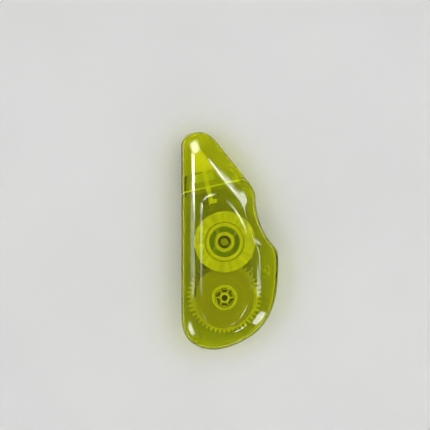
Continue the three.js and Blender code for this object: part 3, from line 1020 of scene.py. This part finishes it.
def paint(name, material, where, whole=False):
    """Gives a material to the faces whose middle passes `where`, or whose every corner does.

    The points are in the piece's own millimetres.
    """
    mesh = bpy.data.objects[name].data
    mesh.materials.append(material)
    for face in mesh.polygons:
        points = [mesh.vertices[i].co for i in face.vertices] if whole else [face.center]
        if all(where(point / MM) for point in points):
            face.material_index = len(mesh.materials) - 1


def from_cap_edge(point):
    """A point in the frame of the cap's edge: x along the edge, y towards the nose."""
    return Matrix.Rotation(-CAP_TILT, 2) @ (point.xy - CAP_EDGE)


def beyond_cap_edge(point):
    return from_cap_edge(point).y > EDGE_MARGIN


def near_post(point):
    """Posts and their sockets, but not the covers' own walls."""
    if not WALL + MARGIN < point.z < THICKNESS - WALL - MARGIN:
        return False
    return any((point.xy - post["at"]).length < post["radius"] + POST_REACH for post in POSTS)


def on_ridge(point):
    spot = from_cap_edge(point)
    beside = abs(spot.x - SNAP_RIDGE_MIDDLE) - SNAP_RIDGE_LENGTH / 2
    on_snap_ridge = beside < MARGIN and any(abs(spot.y - y) < RIDGE_REACH for y in SNAP_RIDGES)
    on_root_ridge = abs(spot.y - ROOT_RIDGE) < RIDGE_REACH
    return point.z > SEAM + 1 and (on_snap_ridge or on_root_ridge)


def on_post_end(point):
    radius, top = TAKEUP_POST["radius"], TAKEUP_POST["top"]
    return (point.xy - TAKEUP).length < radius and point.z > top - POST_END


def in_pocket(point):
    radius = point.xy.length
    return SLEEVE + MARGIN < radius < POCKET - MARGIN and point.z < RIB_TOP + RIB_MARGIN


def on_web(point):
    return in_pocket(point) and point.z < WEB[1] + WEB_MARGIN


# Painted light: the neck, the posts and the sockets get the lighter copy of the plastic, against
# the shade of their extra walls.
for cover in ("back_cover", "front_cover"):
    paint(cover, clear_lightened_against_shade, beyond_cap_edge)
    paint(cover, clear_lightened_against_shade, near_post)
# Painted light on the ridges of the neck and at the parting line.
paint("front_cover", painted_light_and_shade, on_ridge, whole=True)
# Painted shade on the end of the take-up post, in the middle of its well.
paint("back_cover", post_end_painted_shade, on_post_end)
# Painted shade in the take-up hub's pockets: walls and ribs first, then the floor of the web.
paint("takeup_reel", pocket_walls_painted_shade, in_pocket)
paint("takeup_reel", pocket_floor_painted_shade, on_web)

# ------------------------------------------------------------------ stage, light and camera


def floor():
    size = 1800
    drop = 0.05  # keeps the floor clear of the back cover
    corners = [(*corner, 0) for corner in rectangle(size, size)]
    piece = mesh_object("floor", corners, [(0, 1, 2, 3)])
    piece.location.z = -drop * MM
    piece.data.materials.append(paper_floor())


def around(azimuth, tilt):
    """A place seen from the roller: azimuth from +X towards +Y, tilt from straight up."""
    distance = 0.8
    a, t = math.radians(azimuth), math.radians(tilt)
    return (
        distance * math.sin(t) * math.cos(a),
        distance * math.sin(t) * math.sin(a),
        distance * math.cos(t),
    )


def lamp(name, place, size, radiance):
    """A rectangular light that faces the roller, in metres."""
    width, height = size
    data = bpy.data.lights.new(name, "AREA")
    data.shape = "RECTANGLE"
    data.size, data.size_y = width, height
    data.energy = radiance * math.pi * width * height
    light = bpy.data.objects.new(name, data)
    light.location = place
    light.rotation_euler = (-Vector(place)).to_track_quat("-Z", "Y").to_euler()
    light.visible_transmission = False
    scene.collection.objects.link(light)
    return light


def softbox(name, place, size, radiance):
    """Lights the pieces and the floor, also through the clear plastic, but mirrors nowhere."""
    light = lamp(name, place, size, radiance)
    light.data.cycles.use_multiple_importance_sampling = False
    light.visible_glossy = False


def card(name, place, size, radiance, evenness=2.5):
    """Shows in the polished faces, but lights nothing.

    It fades towards its edges, as a real softbox does: the more even, the later it fades.
    """
    light = lamp(name, place, size, radiance)
    light.data.cycles.use_multiple_importance_sampling = True
    light.visible_diffuse = False
    light.data.use_nodes = True
    nodes = Nodes(light.data.node_tree)
    across = nodes.add("SeparateXYZ", Vector=nodes.add("NewGeometry").outputs["Parametric"])
    fades = []
    for share in (across.outputs["X"], across.outputs["Y"]):
        product = nodes.math("MULTIPLY", share, nodes.math("SUBTRACT", 1.0, share))
        fades.append(nodes.math("MULTIPLY", product, 4.0))
    strength = nodes.math("MULTIPLY", nodes.math("MULTIPLY", *fades), evenness, clamp=True)
    nodes.fill(nodes.tree.nodes["Emission"].inputs["Strength"], strength)


def lights():
    softbox("left softbox", around(180, 50), (0.9, 0.6), 1.7)
    softbox("right softbox", around(10, 50), (0.9, 0.6), 1.7)
    softbox("front softbox", around(-80, 50), (0.9, 0.5), 1.5)
    softbox("back softbox", around(80, 50), (0.9, 0.5), 0.9)
    card("nose card", around(118, 37), (0.56, 0.62), 13, evenness=1.1)
    card("left strip, near the nose", around(170, 32), (0.10, 0.46), 12)
    card("left strip, beside the cap", around(174.5, 28), (0.06, 0.40), 8)
    card("left strip, along the body", around(181, 31), (0.13, 0.60), 4)
    card("cap strip", around(45.4, 26), (0.026, 0.07), 15)
    card("shoulder card", around(30.8, 33), (0.20, 0.48), 11)
    card("right strip", around(2, 25), (0.14, 0.06), 6)
    card("gear card", around(-13, 24), (0.06, 0.24), 6)
    card("tail card", around(-35, 61), (0.20, 0.44), 11)
    card("end card", around(-61, 36), (0.14, 0.14), 12)
    card("corner card", around(-149, 60), (0.40, 0.38), 12, evenness=1.1)


def world(seen, elsewhere):
    """A pale backdrop. It is kept dim in reflections, so the plastic stays deep in colour."""
    sky = bpy.data.worlds.new("studio")
    sky.use_nodes = True
    nodes = Nodes(sky.node_tree)
    path = nodes.add("LightPath").outputs
    direct = nodes.math("MAXIMUM", path["Is Camera Ray"], path["Is Transmission Ray"])
    strength = nodes.add("MapRange", Value=direct, To_Min=elsewhere, To_Max=seen)
    background = sky.node_tree.nodes["Background"].inputs
    nodes.fill(background["Strength"], strength.outputs["Result"])
    nodes.fill(background["Color"], (1, 1, 1))
    scene.world = sky


def camera():
    """Looks straight down, with the roller where it stands in the picture."""
    picture_width = 165.6 * MM
    picture_middle = (-5.66 * MM, 9.9 * MM)
    data = bpy.data.cameras.new("camera")
    data.lens = 120
    data.clip_start = 0.01
    distance = picture_width * data.lens / data.sensor_width
    eye = bpy.data.objects.new("camera", data)
    eye.location = (*picture_middle, distance + THICKNESS / 2 * MM)
    scene.collection.objects.link(eye)
    scene.camera = eye


def many_layers():
    """Lets light pass the covers, the neck and the cap, front and back, on its way to the floor.

    Caustics stay off, so the light of the cards doesn't reach the inside through the plastic.
    """
    bounces = 32
    scene.cycles.max_bounces = bounces
    scene.cycles.transmission_bounces = bounces
    scene.cycles.transparent_max_bounces = bounces
    scene.cycles.caustics_refractive = False
    scene.cycles.caustics_reflective = False


floor()
lights()
world(seen=0.6, elsewhere=0.1)
camera()
many_layers()
scene.view_settings.view_transform = "Standard"
